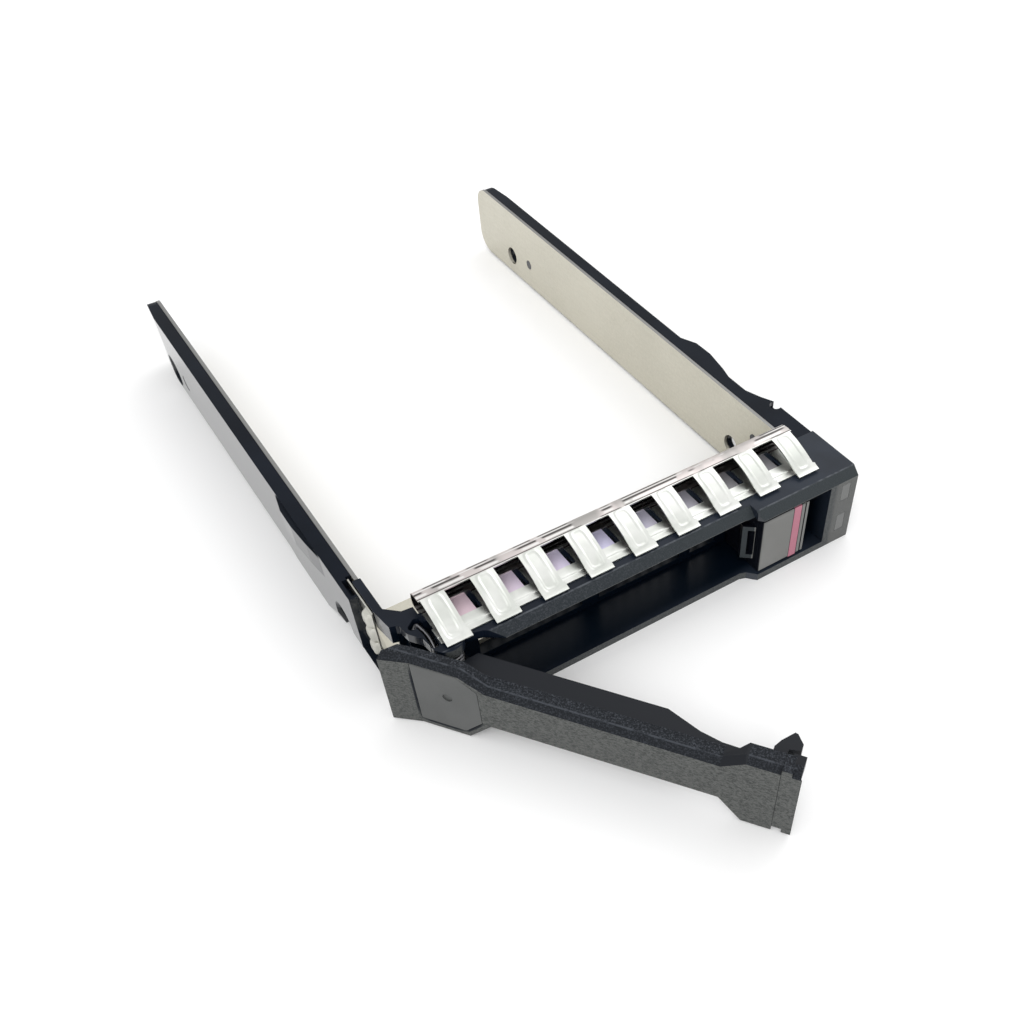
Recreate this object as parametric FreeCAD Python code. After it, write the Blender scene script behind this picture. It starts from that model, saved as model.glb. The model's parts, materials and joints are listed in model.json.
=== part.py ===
import FreeCAD, Part
import math
import os

# Hot swap drive caddy: a carrier for one 2.5 inch drive.
# X runs along the bezel (right is +X), Y runs back into the bay, Z is up.
# Sizes are laid out from the front face plane, the underside and the middle of the drive bay's width.
# The finished solids are moved so that the origin lies on the bezel's underside, level with the lever's pivot.

os.makedirs("parts", exist_ok=True)
V = FreeCAD.Vector

# ---- driving dimensions, millimetres ----
fit_gap = 0.30            # clearance between parts that move past each other
seat_gap = 0.05           # clearance between moulded and pressed parts that sit together
bay_half = 35.3           # half the clear width between the steel liners
end_w = 5.0               # the bezel's right end stands this far outside the bay
height = 14.2             # overall height of the bezel
front_set = 1.8           # the middle of the bezel stands this far behind the button block
block_w = 19.0            # width of the button block at the bezel's right end
block_bevel = 1.35        # bevel along the top front edge
column_w = 5.55           # width of the column at the right end of the button block
floor_t = 1.3             # floor of the bezel
roof_t = 1.5              # roof of the bezel
wall_y0 = 9.4             # front of the bezel's rear wall
wall_t = 2.0              # thickness of the bezel's rear wall
wall_posts = ((-6.1, -3.0), (12.4, 14.5))    # posts between the windows of the rear wall
boss_r = 2.0              # bosses behind the rear wall that take the cross plate's screws
boss_set = 2.1            # middle of the bosses behind the rear wall

steel_t = 0.6             # sheet thickness of the steel frame
liner_z0 = 0.5            # underside of the steel frame
cross_len = 14.8          # the steel cross plate from front to rear
rail_t = 2.3              # steel liner and plastic rail end this far outside the liner's inner face
rail_drop = 0.3           # the rails and liners end this far below the bezel's top
rail_end = 116.0          # rear end of the right rail
left_short = 3.4          # the left rail ends this far in front of the right one
rail_z0 = 0.84            # underside of the rails behind the skids
tail_len = 8.0            # length of the tapered tail of the rails
skid_y = 46.0             # the skids reach back to here
hole_front = 25.8         # front drive screw from the front face
hole_pitch = 76.6         # distance between the drive screws of one side
hole_z = 4.1              # height of the drive screws
screw_r = 1.6             # clearance radius for an M3 drive screw
sink_r = 3.0              # radius of the countersink
rear_r = 3.6              # rounding of the rear corners of liners and rails
shield_len = 6.5          # length of the right side shield
left_rail_y0 = 19.4       # front end of the left rail's full height
arm_z0 = 10.9             # underside of the hinge arm
stake_set = 7.1           # the rear heat stake lies this far in front of the rear drive screw
stake_z, stake_r = 5.3, 0.9

pivot_in = 5.0            # lever pivot from the bay's left wall
pivot_y = 5.0             # lever pivot behind the front face
open_angle = 54.5         # the lever's swing between closed and open
pin_r = 0.75              # lever pin
coil_r = 1.75             # the torsion spring's mean radius
leg_slot = 0.6            # half width of the slot for the torsion spring's leg
ear_r = 2.4               # rounding of the bezel's ears around the pin
lever_left = -7.2         # left end of the lever from the pivot
lever_z0 = 0.2            # underside of the lever's tall ends
grip_z0 = 4.1             # underside of the lever's narrow middle
lever_bevel = 0.9
web_depth = 6.0           # depth of the lever's middle behind its front face
cap_w = 2.8               # width of the lever's end cap
tall_right = 4.2          # length of the lever's tall right end beside the cap
ramp_right = 3.4          # length of the slope from the grip up to the tall right end
end_depth = 1.5           # depth of the right tall end above and below the grip
hook_in = 1.4             # the hook ends this far short of the lever's right end

finger_n = 9
finger_w = 3.68
foil_t = 0.25             # thickness of the spring sheet

button_gap = 0.2          # the button's left side from the side of its block
button_room = 4.05        # room between the button and the column
button_travel = 3.0

# ---- places that follow from them ----
half_width = bay_half + end_w
block_x0 = half_width - block_w
column_x0 = half_width - column_w
left_x = -(bay_half - fit_gap)               # the bezel's left end
wall_y1 = wall_y0 + wall_t
roof_z0 = height - roof_t
stake_y = hole_front + hole_pitch - stake_set
rail_top = height - rail_drop
cross_y0 = wall_y1 + 0.8
cross_y1 = cross_y0 + cross_len
left_liner_y0 = left_rail_y0 + 3.2           # the left liner starts behind the hinge arm
pivot_x = -(bay_half - pivot_in)
boss_y = wall_y1 + boss_set
boss_x = (-(bay_half - 8.3), 1.0, half_width - 11.3)      # screws of the cross plate
window_x0, window_x1 = pivot_x + 6.3, block_x0 - 1.8      # the rear wall's windows lie between these
spring_leg = [(pivot_x - 1.6, pivot_y + 2.4), (pivot_x - 2.0, pivot_y + 5.2), (pivot_x - 2.9, pivot_y + 4.55)]
lever_front = pivot_y                        # the closed lever is flush with the button block
lever_right = block_x0 - fit_gap - pivot_x
lever_z1 = height
grip_z1 = roof_z0 - 2 * fit_gap
hook_x1 = lever_right - hook_in
finger_x0 = -(bay_half - 4.3)
finger_x1 = half_width - 6.1
finger_pitch = (finger_x1 - finger_w - finger_x0) / (finger_n - 1)
button_x0, button_x1 = block_x0 + button_gap, column_x0 - button_room
button_z0, button_z1 = floor_t + fit_gap, roof_z0 - 2 * fit_gap


# ---- helpers ----
def box(x0, x1, y0, y1, z0, z1):
    return Part.makeBox(x1 - x0, y1 - y0, z1 - z0, V(x0, y0, z0))


def rod(r, p, d, length):
    return Part.makeCylinder(r, length, V(*p), V(*d))


def face_of(points):
    pts = [V(*p) for p in points]
    return Part.Face(Part.makePolygon(pts + [pts[0]]))


def prism_z(points, z0, z1):
    """Straight prism along Z from a plan outline of x, y points."""
    return face_of([(x, y, z0) for x, y in points]).extrude(V(0, 0, z1 - z0))


def prism_x(points, x0, x1):
    """Straight prism along X from a side outline of y, z points."""
    return face_of([(x0, y, z) for y, z in points]).extrude(V(x1 - x0, 0, 0))


def prism_y(points, y0, y1):
    """Straight prism along Y from a front outline of x, z points."""
    return face_of([(x, y0, z) for x, z in points]).extrude(V(0, y1 - y0, 0))


def fuse(shapes):
    out = shapes[0]
    if len(shapes) > 1:
        out = out.multiFuse(shapes[1:])
    return out.removeSplitter()


def edges_at(shape, test):
    return [e for e in shape.Edges if test(e)]


def save(name, shape):
    shape.translate(V(0, -pivot_y, 0))
    shape.exportStep("parts/" + name + ".step")
    print(name, len(shape.Solids), round(shape.Volume, 1))


def slot_between(a, b, half, z0, z1):
    """Upright slot with round ends from plan point a to plan point b."""
    dx, dy = b[0] - a[0], b[1] - a[1]
    length = math.hypot(dx, dy)
    nx, ny = -dy / length * half, dx / length * half
    middle = prism_z([(a[0] + nx, a[1] + ny), (b[0] + nx, b[1] + ny),
                      (b[0] - nx, b[1] - ny), (a[0] - nx, a[1] - ny)], z0, z1)
    return middle.fuse([rod(half, (x, y, z0), (0, 0, 1), z1 - z0) for x, y in (a[:2], b[:2])])


# ---- the rails' inner and outer faces, which the bezel's hinge arm follows ----
rail_x0 = bay_half + steel_t + seat_gap
rail_x1 = bay_half + steel_t + rail_t
left_inner = rail_x0 + 0.85          # inner face of the left rail beside the hinge arm


# ---- bezel: floor, roof, rear wall, right column and the ears of the lever hinge ----
def bezel_outline(back, setback, corner_y):
    """Plan of the roof or floor: button block at the right, set-back middle, receding hinge corner."""
    return [
        (half_width, 0.0), (half_width, back), (left_x, back), (left_x, corner_y),
        (pivot_x - 4.3, corner_y - 0.3), (pivot_x - 4.0, corner_y - 2.2), (pivot_x - ear_r + 0.2, pivot_y + 1.2),
        (pivot_x, pivot_y),
        (pivot_x + 4.9, pivot_y - 1.4), (pivot_x + 7.4, setback), (block_x0 - 2.3, setback),
        (block_x0 - 1.3, setback - 0.35), (block_x0, 0.0),
    ]


def ear(z0, z1):
    """Rounded ear around the pin, with its web back to the roof or floor."""
    nose = rod(ear_r, (pivot_x, pivot_y, z0), (0, 0, 1), z1 - z0)
    web = prism_z([(pivot_x - ear_r + 0.01, pivot_y + 0.2), (pivot_x + ear_r - 0.01, pivot_y + 0.2),
                   (pivot_x + ear_r + 0.6, pivot_y + 3.5), (pivot_x - ear_r - 0.6, pivot_y + 4.2)], z0, z1)
    return nose.fuse(web)


def bezel():
    corner_y = wall_y1 - 0.4
    outline = bezel_outline(wall_y1, front_set, corner_y)
    roof = prism_z(outline, roof_z0, height)
    base = prism_z(outline, 0, floor_t)
    wall = box(left_x + 1.0, half_width, wall_y0, wall_y1, 0, height)
    column = box(column_x0, half_width, 0, wall_y1, 0, height)
    cheek = box(left_x, left_x + 1.6, corner_y, wall_y1, 0, height)
    # hinge arm: runs back from the roof to the left rail, clear of the lever's swing
    arm_x, arm_end = -(left_inner - 0.4), left_liner_y0 - 0.4
    arm = prism_z([(left_x - 0.86, corner_y + 0.3), (left_x + 0.6, corner_y - 0.1), (left_x + 3.6, corner_y - 0.1),
                   (left_x + 3.6, wall_y1 + 1.55), (left_x + 1.9, wall_y1 + 1.7), (left_x - 0.1, wall_y1 + 3.6),
                   (left_x - 0.1, arm_end), (arm_x, arm_end), (arm_x, wall_y1 + 3.8)], arm_z0, height)
    bosses = [rod(boss_r, (x, boss_y, liner_z0 + steel_t), (0, 0, 1), 6.0) for x in boss_x]
    bosses += [box(x - 1.2, x + 1.2, wall_y1 - 0.5, boss_y, liner_z0 + steel_t, 6.0) for x in boss_x]
    body = fuse([roof, base, wall, column, cheek, arm, ear(roof_z0, height), ear(0, floor_t + 0.4)] + bosses)

    # slanted bevel along the top front edge, lower and further back in the middle
    bevel_block = prism_x([(-1, height - block_bevel - 1), (block_bevel + 1, height + 1), (-1, height + 1)],
                          block_x0 - 0.6, half_width + 1)
    y1 = front_set
    bevel_mid = prism_x([(y1 - 1, height - block_bevel - 1), (y1 + block_bevel + 1, height + 1),
                         (y1 - 1, height + 1)], pivot_x + 4.3, block_x0 - 0.6)
    body = body.cut(bevel_block).cut(bevel_mid)

    # windows through the rear wall between its posts, which the vent screen closes
    windows = []
    sides = [window_x0] + [x for post in wall_posts for x in post] + [window_x1]
    for x0, x1 in zip(sides[::2], sides[1::2]):
        windows.append(box(x0, x1, wall_y0 - 1, wall_y1 + 1, floor_t + 1.0, roof_z0 - 0.6))
    # openings in the roof under the gaps of the spring strip
    for i in range(finger_n - 1):
        x0 = finger_x0 + finger_w + i * finger_pitch + 0.3
        windows.append(box(x0, x0 + finger_pitch - finger_w - 0.6, wall_y0 - 2.1, wall_y0 - 0.1, roof_z0 - 1,
                           height + 1))
    # opening over the torsion spring
    windows.append(box(pivot_x - 2.0, pivot_x + 0.1, pivot_y + ear_r + 0.1, wall_y0 + 0.2, roof_z0 - 1,
                       height + 1))
    body = body.cut(Part.makeCompound(windows))
    # slot in the roof that holds the torsion spring's leg
    leg = [(pivot_x - coil_r, pivot_y)] + spring_leg
    for a, b in zip(leg, leg[1:]):
        body = body.cut(slot_between(a, b, leg_slot, roof_z0 - 0.7, height + 1))

    # recess below for the cross plate's tabs, and the screw holes of the bosses
    for x in boss_x:
        windows = [box(x - 3.3, x + 3.3, wall_y0 + 0.5, wall_y1 + 1, -1, liner_z0 + steel_t)]
        windows.append(rod(0.85, (x, boss_y, 0), (0, 0, 1), 6.0))
        body = body.cut(Part.makeCompound(windows))

    # holes for the light pipes and the lever pin
    pipes = [pipe_shape(z0, z1, seat_gap) for z0, z1 in pipe_heights]
    body = body.cut(Part.makeCompound(pipes))
    body = body.cut(rod(pin_r + 0.01, (pivot_x, pivot_y, 0.5), (0, 0, 1), height))
    return body.removeSplitter()


# ---- light pipes: clear bars from the column's face to its back ----
pipe_x0, pipe_x1 = half_width - 3.1, half_width - 1.4
pipe_heights = [(roof_z0 - 3.8, roof_z0 - 0.6), (floor_t + 1.2, floor_t + 4.5)]


def pipe_shape(z0, z1, grow=0.0):
    bar = box(pipe_x0 - grow, pipe_x1 + grow, -1 if grow else 0, wall_y1 - 2 + grow, z0 - grow, z1 + grow)
    return bar


save("bezel_frame", bezel())
for label, (z0, z1) in zip(("upper", "lower"), pipe_heights):
    save("light_pipe_" + label, pipe_shape(z0, z1))


# ---- steel frame: one folded sheet, cross plate below and a liner up each side ----
shield_y0 = wall_y1 + 1.0
shield_y1 = shield_y0 + shield_len
front_stake_y, front_stake_z = shield_y1 + 1.1, 9.0


def holes_along_x(x0, x1, r, z=hole_z):
    return [rod(r, (x0, y, z), (1, 0, 0), x1 - x0) for y in (hole_front, hole_front + hole_pitch)]


def side_end(side):
    """Rear end of the rail on one side; side is -1 or 1."""
    return rail_end if side > 0 else rail_end - left_short


def liner(side):
    """Upright liner behind the cross plate, with rounded rear corners."""
    x0 = min(side * bay_half, side * (bay_half + steel_t))
    end = side_end(side) + 0.2
    plate = box(x0, x0 + steel_t, cross_y1, end, liner_z0, rail_top)
    rear = edges_at(plate, lambda e: abs(e.CenterOfMass.y - end) < 0.01
                    and abs(e.CenterOfMass.x - x0 - steel_t / 2) < 0.01)
    return plate.makeFillet(rear_r, rear)


def steel_frame():
    x1 = bay_half + steel_t
    # cross plate with the front of both liners folded up from it, the left one cut low under the hinge arm
    plate = box(-x1, x1, cross_y0, cross_y1, liner_z0, liner_z0 + steel_t)
    right = box(bay_half, x1, cross_y0, cross_y1, liner_z0, rail_top)
    left = prism_x([(cross_y0, liner_z0), (cross_y1, liner_z0), (cross_y1, rail_top), (left_liner_y0, rail_top),
                    (left_liner_y0, 5.8), (cross_y0, 2.4)], -x1, -bay_half)
    folded = fuse([plate, right, left])
    bends = edges_at(folded, lambda e: abs(abs(e.CenterOfMass.x) - x1) < 0.01
                     and abs(e.CenterOfMass.z - liner_z0) < 0.01 and e.Length > 8)
    folded = folded.makeFillet(0.5, bends)
    tabs = [box(x - 3.2, x + 3.2, wall_y0 + 0.6, cross_y0 + 0.3, liner_z0, liner_z0 + steel_t) for x in boss_x]
    body = fuse([folded, liner(1), liner(-1)] + tabs)
    cuts = holes_along_x(-x1 - 1, x1 + 1, screw_r + 0.15)
    cuts.append(rod(stake_r + seat_gap, (-x1 - 1, stake_y, stake_z), (1, 0, 0), 2 * x1 + 2))
    cuts.append(rod(stake_r + seat_gap, (bay_half - 1, front_stake_y, front_stake_z), (1, 0, 0), 3))
    cuts += [rod(1.05, (x, boss_y, 0), (0, 0, 1), 3) for x in boss_x]
    return body.cut(Part.makeCompound(cuts))


# ---- rails: moulded, with a tapered tail, a skid below and countersunk screw seats ----
tail_x = rail_x1 - 0.7    # the rails' outer faces run in to here at the rear end
bump_y = (30.0, 34.0, 39.0, 43.0, 47.0)      # guide bump along the outer face


def countersinks(side):
    out = []
    for y in (hole_front, hole_front + hole_pitch):
        out.append(rod(screw_r, (side * (rail_x0 - 1), y, hole_z), (side, 0, 0), 6))
        depth = sink_r - screw_r
        cone = Part.makeCone(screw_r, sink_r + 0.4, depth + 0.4, V(side * (rail_x1 - depth), y, hole_z),
                             V(side, 0, 0))
        out.append(cone)
        out.append(rod(sink_r, (side * rail_x1, y, hole_z), (side, 0, 0), 3))
    return out


def guide_bump(side, height_x, z0):
    """Lens-shaped bump on a rail's outer face that centres the caddy in its bay."""
    share = (0.0, 0.55, 1.0, 0.95, 0.0)
    points = [(side * (rail_x1 - 0.5), bump_y[0])]
    points += [(side * (rail_x1 + height_x * s), y) for s, y in zip(share, bump_y)]
    points.append((side * (rail_x1 - 0.5), bump_y[-1]))
    return prism_z(points, z0, rail_top - 0.5)


def rail_blank(side, plan):
    """Rail of the given plan outline with rounded rear corners and a raised underside behind the skid."""
    body = prism_z([(side * x, y) for x, y in plan], 0, rail_top)
    x1 = half_width + 5.0
    end = side_end(side)
    front = box(-x1, x1, 0, skid_y + 3.0, 0, rail_top)
    front = front.cut(prism_x([(skid_y, 0), (skid_y + 3.0, rail_z0), (skid_y + 3.0, 0)], -x1, x1))
    rest = box(-x1, x1, skid_y + 2.9, end, rail_z0, rail_top)
    rear = edges_at(rest, lambda e: abs(e.CenterOfMass.y - end) < 0.01 and abs(e.CenterOfMass.x) < 0.01)
    body = body.common(front.fuse(rest.makeFillet(rear_r, rear)))
    cuts = countersinks(side)
    # the front screw's seat is open to the underside
    seat = box(rail_x1 - 1.2, rail_x1 + 1, hole_front - sink_r, hole_front + sink_r, -1, hole_z)
    cuts.append(seat if side > 0 else seat.mirror(V(0, 0, 0), V(1, 0, 0)))
    cuts.append(rod(stake_r + seat_gap, (side * (rail_x0 - 1), stake_y, stake_z), (side, 0, 0), 6))
    cuts.append(rod(stake_r + 0.5, (side * (rail_x1 - 0.6), stake_y, stake_z), (side, 0, 0), 3))
    return body.cut(Part.makeCompound(cuts))


shoulder_x = half_width - 0.1         # outer face of the right rail's front end, beside the bezel
right_shield_x = shoulder_x - 0.7


def right_rail():
    y0 = wall_y1 + seat_gap
    plan = [(rail_x0, y0), (shoulder_x, y0), (shoulder_x, shield_y1 + 2.6), (shoulder_x - 1.0, shield_y1 + 4.7),
            (rail_x1, shield_y1 + 7.6), (rail_x1, rail_end - tail_len), (tail_x, rail_end), (rail_x0, rail_end)]
    body = rail_blank(1, plan).fuse(guide_bump(1, 1.9, 4.0))
    seat = box(right_shield_x, shoulder_x + 1, shield_y0, shield_y1, 2.2, rail_top - 0.9)
    dimple = rod(1.0, (shoulder_x - 0.4, shield_y1 + 1.5, rail_top - 1.2), (0, 0, 1), 3)
    body = body.cut(seat).cut(dimple)
    body = body.cut(rod(stake_r + seat_gap, (rail_x0 - 1, front_stake_y, front_stake_z), (1, 0, 0), 2.6))
    return body.removeSplitter()


def lead_profile(y, share):
    """Section of the lead-in cut along the left rail's lower front edge, at y; share scales it."""
    x, z = -rail_x1 - 0.3, -0.6
    points = [(x, z + 5.5 * share), (x + 1.4 * share, z), (x - 0.7, z), (x - 0.7, z + 5.5 * share)]
    return Part.makePolygon([V(px, y, pz) for px, pz in points + points[:1]])


def left_rail():
    end = side_end(-1)
    step_y = left_liner_y0 + 1.3
    plan = [(left_inner, left_rail_y0), (rail_x1, left_rail_y0), (rail_x1, end - tail_len),
            (tail_x, end), (rail_x0, end), (rail_x0, step_y), (left_inner, step_y)]
    body = rail_blank(-1, plan).fuse(guide_bump(-1, 0.8, 9.5))
    # tongue below the side shield, and the lead-in along the rail's lower front edge
    y = left_rail_y0
    tongue = prism_x([(y - 6.0, 0.6), (y - 4.8, 0), (y + 0.6, 0), (y + 0.6, 3.2), (y - 5.5, 3.2)],
                     -rail_x1, -left_inner)
    body = body.fuse(tongue)
    lead = Part.makeLoft([lead_profile(y - 7.4, 1.0), lead_profile(hole_front + 1.6, 1.0)], True, True)
    lead = lead.fuse(Part.makeLoft([lead_profile(hole_front + 1.6, 1.0), lead_profile(skid_y - 10, 0.08)],
                                   True, True))
    pocket = box(-left_inner - 0.75, -left_inner + 1, y + 0.5, y + 4.0, rail_top - 1.7, rail_top + 1)
    return body.cut(lead).cut(pocket).removeSplitter()


def stakes(side, spots):
    """Heat stakes: a shank through liner and rail with a head in the rail's outer face."""
    out = []
    for y, z, length in spots:
        shank = rod(stake_r, (side * bay_half, y, z), (side, 0, 0), length)
        out.append(shank)
    head = rod(stake_r + 0.4, (side * (rail_x1 - 0.55), stake_y, stake_z), (side, 0, 0), 0.5)
    out[0] = out[0].fuse(head)
    return Part.makeCompound(out)


save("steel_frame", steel_frame())
save("right_rail", right_rail())
save("left_rail", left_rail())
save("right_rail_stakes", stakes(1, [(stake_y, stake_z, 2.6), (front_stake_y, front_stake_z, 2.0)]))
save("left_rail_stake", stakes(-1, [(stake_y, stake_z, 2.6)]))


# ---- top spring strip: one folded sheet, base with windows, rear bend and nine fingers ----
def sheet(points, t, x0, x1):
    """Thin sheet along X whose section follows the points (y, z), t thick and centred on them."""
    ups, downs = [], []
    n = len(points)
    for i, (y, z) in enumerate(points):
        ya, za = points[max(i - 1, 0)]
        yb, zb = points[min(i + 1, n - 1)]
        length = math.hypot(yb - ya, zb - za)
        ny, nz = -(zb - za) / length, (yb - ya) / length
        ups.append((y + ny * t / 2, z + nz * t / 2))
        downs.append((y - ny * t / 2, z - nz * t / 2))
    return prism_x(ups + downs[::-1], x0, x1)


base_z = height + seat_gap + foil_t / 2
bend = [(-0.2, 0.0), (0.7, 0.0), (1.35, 0.25), (1.65, 0.9), (1.65, 1.8), (1.4, 2.47), (0.8, 2.82), (-0.2, 2.92),
        (-1.2, 2.82)]
finger_line = [(-1.2, 2.82), (-3.0, 2.38), (-5.0, 1.62), (-6.7, 0.82), (-7.7, 0.38), (-8.2, 0.24)]
bend = [(wall_y1 + y, base_z + z) for y, z in bend]
finger_line = [(wall_y1 + y, base_z + z) for y, z in finger_line]
strip_x0 = finger_x0 - 0.3
strip_x1 = finger_x1 + 0.2


def top_strip():
    base = box(strip_x0, strip_x1, wall_y1 - 7.0, wall_y1 - 0.1, base_z - foil_t / 2, base_z + foil_t / 2)
    windows = []
    for i in range(finger_n - 1):
        x0 = finger_x0 + finger_w + i * finger_pitch + 0.15
        windows.append(box(x0, x0 + finger_pitch - finger_w - 0.3, wall_y0 - 2.1, wall_y1 - 0.3, base_z - 1,
                           base_z + 1))
    base = base.cut(Part.makeCompound(windows))
    pieces = [base, sheet(bend, foil_t, strip_x0, strip_x1)]
    for i in range(finger_n):
        x0 = finger_x0 + i * finger_pitch
        pieces.append(sheet(finger_line, foil_t, x0, x0 + finger_w))
        # pressed rib along the finger and the wider toe at its tip
        rib = [(y, z + 0.1) for y, z in finger_line[1:4]]
        pieces.append(sheet(rib, foil_t + 0.14, x0 + 1.25, x0 + 2.3))
        pieces.append(sheet(finger_line[-3:], foil_t, x0 + finger_w - 0.1, x0 + finger_w + 0.3))
    for x in (boss_x[0] - 0.2, boss_x[1] + 0.8, boss_x[2] - 0.3):
        pieces.append(box(x - 2, x + 2, wall_y1 + seat_gap, wall_y1 + seat_gap + foil_t, height - 1.7, base_z))
    return fuse(pieces)


save("top_shield_strip", top_strip())


# ---- side shields: a spring plate with bulged pads stacked up the corner ----
def side_shield(side, x, y0, y1, z0, z1, tail_y, pad_y0, pad_y1, count):
    """Plate at x with its pads bulging outwards; the tail runs back along the rail's top."""
    out = side * x
    t = foil_t
    lo, hi = min(out, out - side * t), max(out, out - side * t)
    plate = box(lo, hi, y0, y1, z0, z1)
    pieces = [plate]
    if tail_y > y1:
        pieces.append(box(lo, hi, y1 - 0.1, tail_y, z1 - 3.4, z1))
    pitch = (z1 - z0 - 0.6) / count
    b = 0.85
    w = pad_y1 - pad_y0
    line = [(pad_y0 + w * f, b * g) for f, g in ((0, 0), (0.13, 0.6), (0.3, 1), (0.7, 1), (0.87, 0.6), (1, 0))]
    for k in range(count):
        za = z0 + 0.45 + k * pitch
        outer = [(out + side * (d - 0.02), y) for y, d in line]
        inner = [(out + side * (max(d - t, -t)), y) for y, d in line]
        pieces.append(prism_z(outer + inner[::-1], za, za + pitch - 0.4))
    return fuse(pieces)


save("right_side_shield", side_shield(1, right_shield_x + 0.3, shield_y0 + 0.2, shield_y1 - 0.2, rail_top - 11.4,
                                      rail_top - 1.1, 0, shield_y0 + 0.8, shield_y1 - 0.7, 4))
left_y1 = left_rail_y0 + 0.2
save("left_side_shield", side_shield(-1, left_inner - seat_gap, left_y1 - 4.4, left_y1, rail_top - 9.8,
                                     rail_top - 0.1, left_liner_y0 + 0.8, left_y1 - 4.2, left_y1 - 1.8, 3))


# ---- vent screen: slotted sheet behind the windows of the rear wall ----
def vent_screen():
    y0 = wall_y1 + seat_gap
    pitch, width = 2.3, 1.3
    plate = box(window_x0 - 0.8, window_x1 + 1.0, y0, y0 + 0.4, floor_t + 0.5, roof_z0 - 0.4)
    count = int((window_x1 - window_x0 - 0.6 + pitch - width) / pitch)
    slots = [box(x, x + width, y0 - 1, y0 + 1, floor_t + 1.9, roof_z0 - 1.7)
             for x in [window_x0 + 0.6 + pitch * i for i in range(count)]]
    # notch around the middle boss and its web
    notch = box(boss_x[1] - 1.6, boss_x[1] + 1.6, y0 - 1, y0 + 1, 0, 7.0)
    return plate.cut(Part.makeCompound(slots + [notch])).removeSplitter()


save("vent_screen", vent_screen())


# ---- screws that hold the cross plate to the bezel's bosses ----
def cross_screws():
    out = []
    for x in boss_x:
        head = rod(1.7, (x, boss_y, 0.08), (0, 0, 1), liner_z0 - 0.08)
        cross = box(x - 1.0, x + 1.0, boss_y - 0.18, boss_y + 0.18, 0, 0.3)
        cross = cross.fuse(box(x - 0.18, x + 0.18, boss_y - 1.0, boss_y + 1.0, 0, 0.3))
        shank = rod(0.8, (x, boss_y, 0.3), (0, 0, 1), 4.6)
        out.append(head.cut(cross).fuse(shank).removeSplitter())
    return Part.makeCompound(out)


save("cross_plate_screws", cross_screws())


# ---- the button's catch, which the lever's hook passes ----
catch_x0 = pivot_x + hook_x1 + fit_gap + seat_gap
catch_z0, catch_z1 = 3.2, 9.9


# ---- lever, made closed with its pivot at the origin, then swung open ----
def swing(shape):
    shape.rotate(V(0, 0, 0), V(0, 0, 1), -open_angle)
    shape.translate(V(pivot_x, pivot_y, 0))
    return shape


shell_t = 2.2
cap_x0 = lever_right - cap_w
taper_l = (4.2, 7.9)      # the slope at the left between the tall end and the grip
taper_r = (cap_x0 - tall_right - ramp_right, cap_x0 - tall_right)
seam_x = -3.3


def lever_outline():
    return [(seam_x, lever_z0), (taper_l[0], lever_z0), (taper_l[1], grip_z0), (taper_r[0], grip_z0),
            (taper_r[1], lever_z0), (cap_x0, lever_z0), (cap_x0, lever_z1), (taper_r[1] - 0.6, lever_z1),
            (taper_r[0] - 0.4, grip_z1), (taper_l[1], grip_z1), (taper_l[0], lever_z1), (seam_x, lever_z1)]


def lever_shell():
    """Front shell: tall ends, narrow middle, bevelled along its top edge."""
    shell = prism_y(lever_outline(), -lever_front, -lever_front + shell_t)
    rim = edges_at(shell, lambda e: abs(e.CenterOfMass.y + lever_front) < 0.01
                   and abs(e.Vertexes[0].X - e.Vertexes[-1].X) > 0.5 and e.CenterOfMass.z > grip_z1 - 1)
    shell = shell.makeChamfer(lever_bevel, rim)
    # the right end stays shallow above and below, to close in front of the roof and the floor
    over = box(taper_r[0] - 0.5, cap_x0 + 1, -lever_front + end_depth, 0, grip_z1 + 0.1, height + 1)
    under = box(taper_r[0] - 0.5, cap_x0 + 1, -lever_front + end_depth, 0, -1, grip_z0 - 0.1)
    # its top and the slope beside it are deeper, slanted behind to follow the bevel of the roof
    top = crown(taper_r[0] - 0.4, cap_x0).common(prism_y(lever_outline(), -lever_front, 0))
    return fuse([shell.cut(over).cut(under), top])


def crown(x0, x1):
    y = -lever_front + end_depth
    z = height - block_bevel + 0.05
    return prism_x([(y - 0.5, z), (y, z), (y + block_bevel - 0.05, lever_z1), (y - 0.5, lever_z1)], x0, x1)


def lever_flare():
    """Left end of the shell, turned slightly outwards and thinned to clear the hinge arm."""
    plan = [(seam_x, -lever_front), (lever_left - 0.5, -lever_front - 0.9), (lever_left - 0.2, -4.9),
            (-5.9, -3.1), (seam_x, -lever_front + shell_t)]
    flare = prism_z(plan, lever_z0, lever_z1)
    rim = edges_at(flare, lambda e: e.CenterOfMass.y < -lever_front - 0.2 and e.Length > 3
                   and abs(e.Vertexes[0].Z - lever_z1) < 0.01 and abs(e.Vertexes[-1].Z - lever_z1) < 0.01)
    return flare.makeChamfer(lever_bevel, rim)


def insert_shape(grow):
    g = grow
    x1, x2 = taper_l[0] - 0.5, taper_l[1] - 1.4
    z0, z1 = lever_z0 + 1.0, lever_z1 - 1.1
    outline = [(seam_x - g, z0 - g), (x1 + g * 0.5, z0 - g), (x2 + g, grip_z0 + 0.1 - g), (x2 + g, z1 - 2.2 + g),
               (x1 - 0.1 + g * 0.5, z1 + g), (seam_x - g, z1 + g)]
    return prism_y(outline, -lever_front - (1.0 if g else 0.0), -lever_front + 0.9 + g)


knuckle_r = 2.3
knuckle_z0, knuckle_z1 = floor_t + 0.8, roof_z0 - 3.3      # the torsion spring lies between knuckle and roof


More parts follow.
